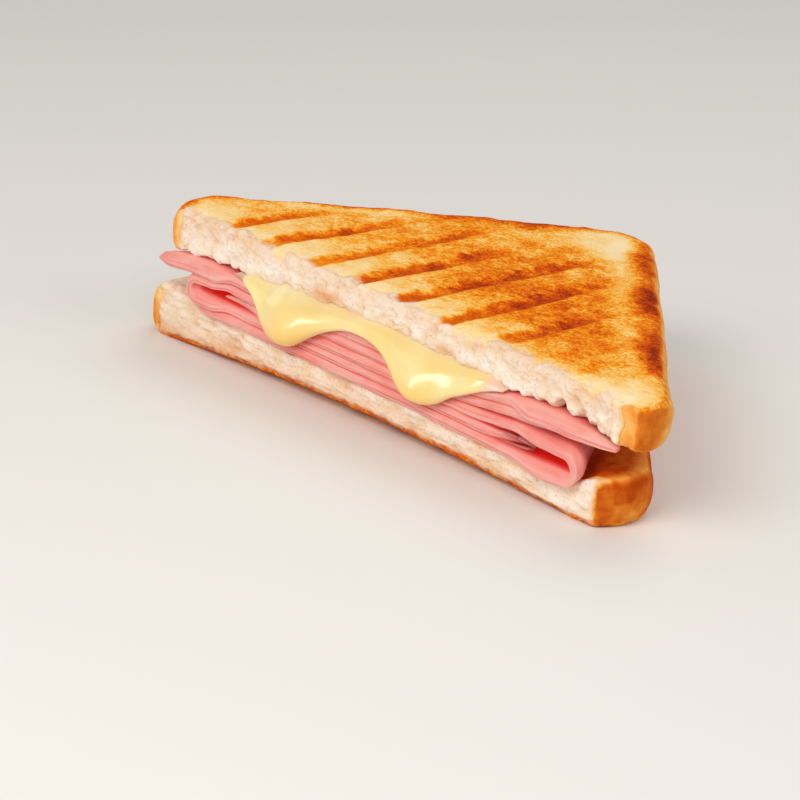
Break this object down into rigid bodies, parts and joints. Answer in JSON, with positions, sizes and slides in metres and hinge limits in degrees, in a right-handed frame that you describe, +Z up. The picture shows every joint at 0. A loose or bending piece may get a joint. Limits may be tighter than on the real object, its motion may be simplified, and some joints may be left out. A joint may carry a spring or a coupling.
{
  "type": "toasted ham and cheese sandwich half",
  "caption": "Triangular half of a toasted ham and cheese sandwich, with grill marks, folded ham and melted cheese at the cut face.",
  "frame": {"origin": "on the flat underside of the lower slice, below the middle of the half", "axes": "+X along the cut face towards its right tip, +Y from the cut face back towards the whole corner, +Z up"},
  "size_m": [0.1574, 0.0904, 0.0324],
  "materials": {
    "bread": "dry toasted crust and open crumb, matte",
    "ham": "moist cooked ham, satin",
    "cheese": "melted cheese, glossy"
  },
  "bodies": {
    "root": {"bread_lower": "bread", "bread_upper": "bread", "ham_flat": "ham", "ham_fold_left": "ham", "ham_fold_right": "ham", "cheese": "cheese"}
  },
  "joints": []
}
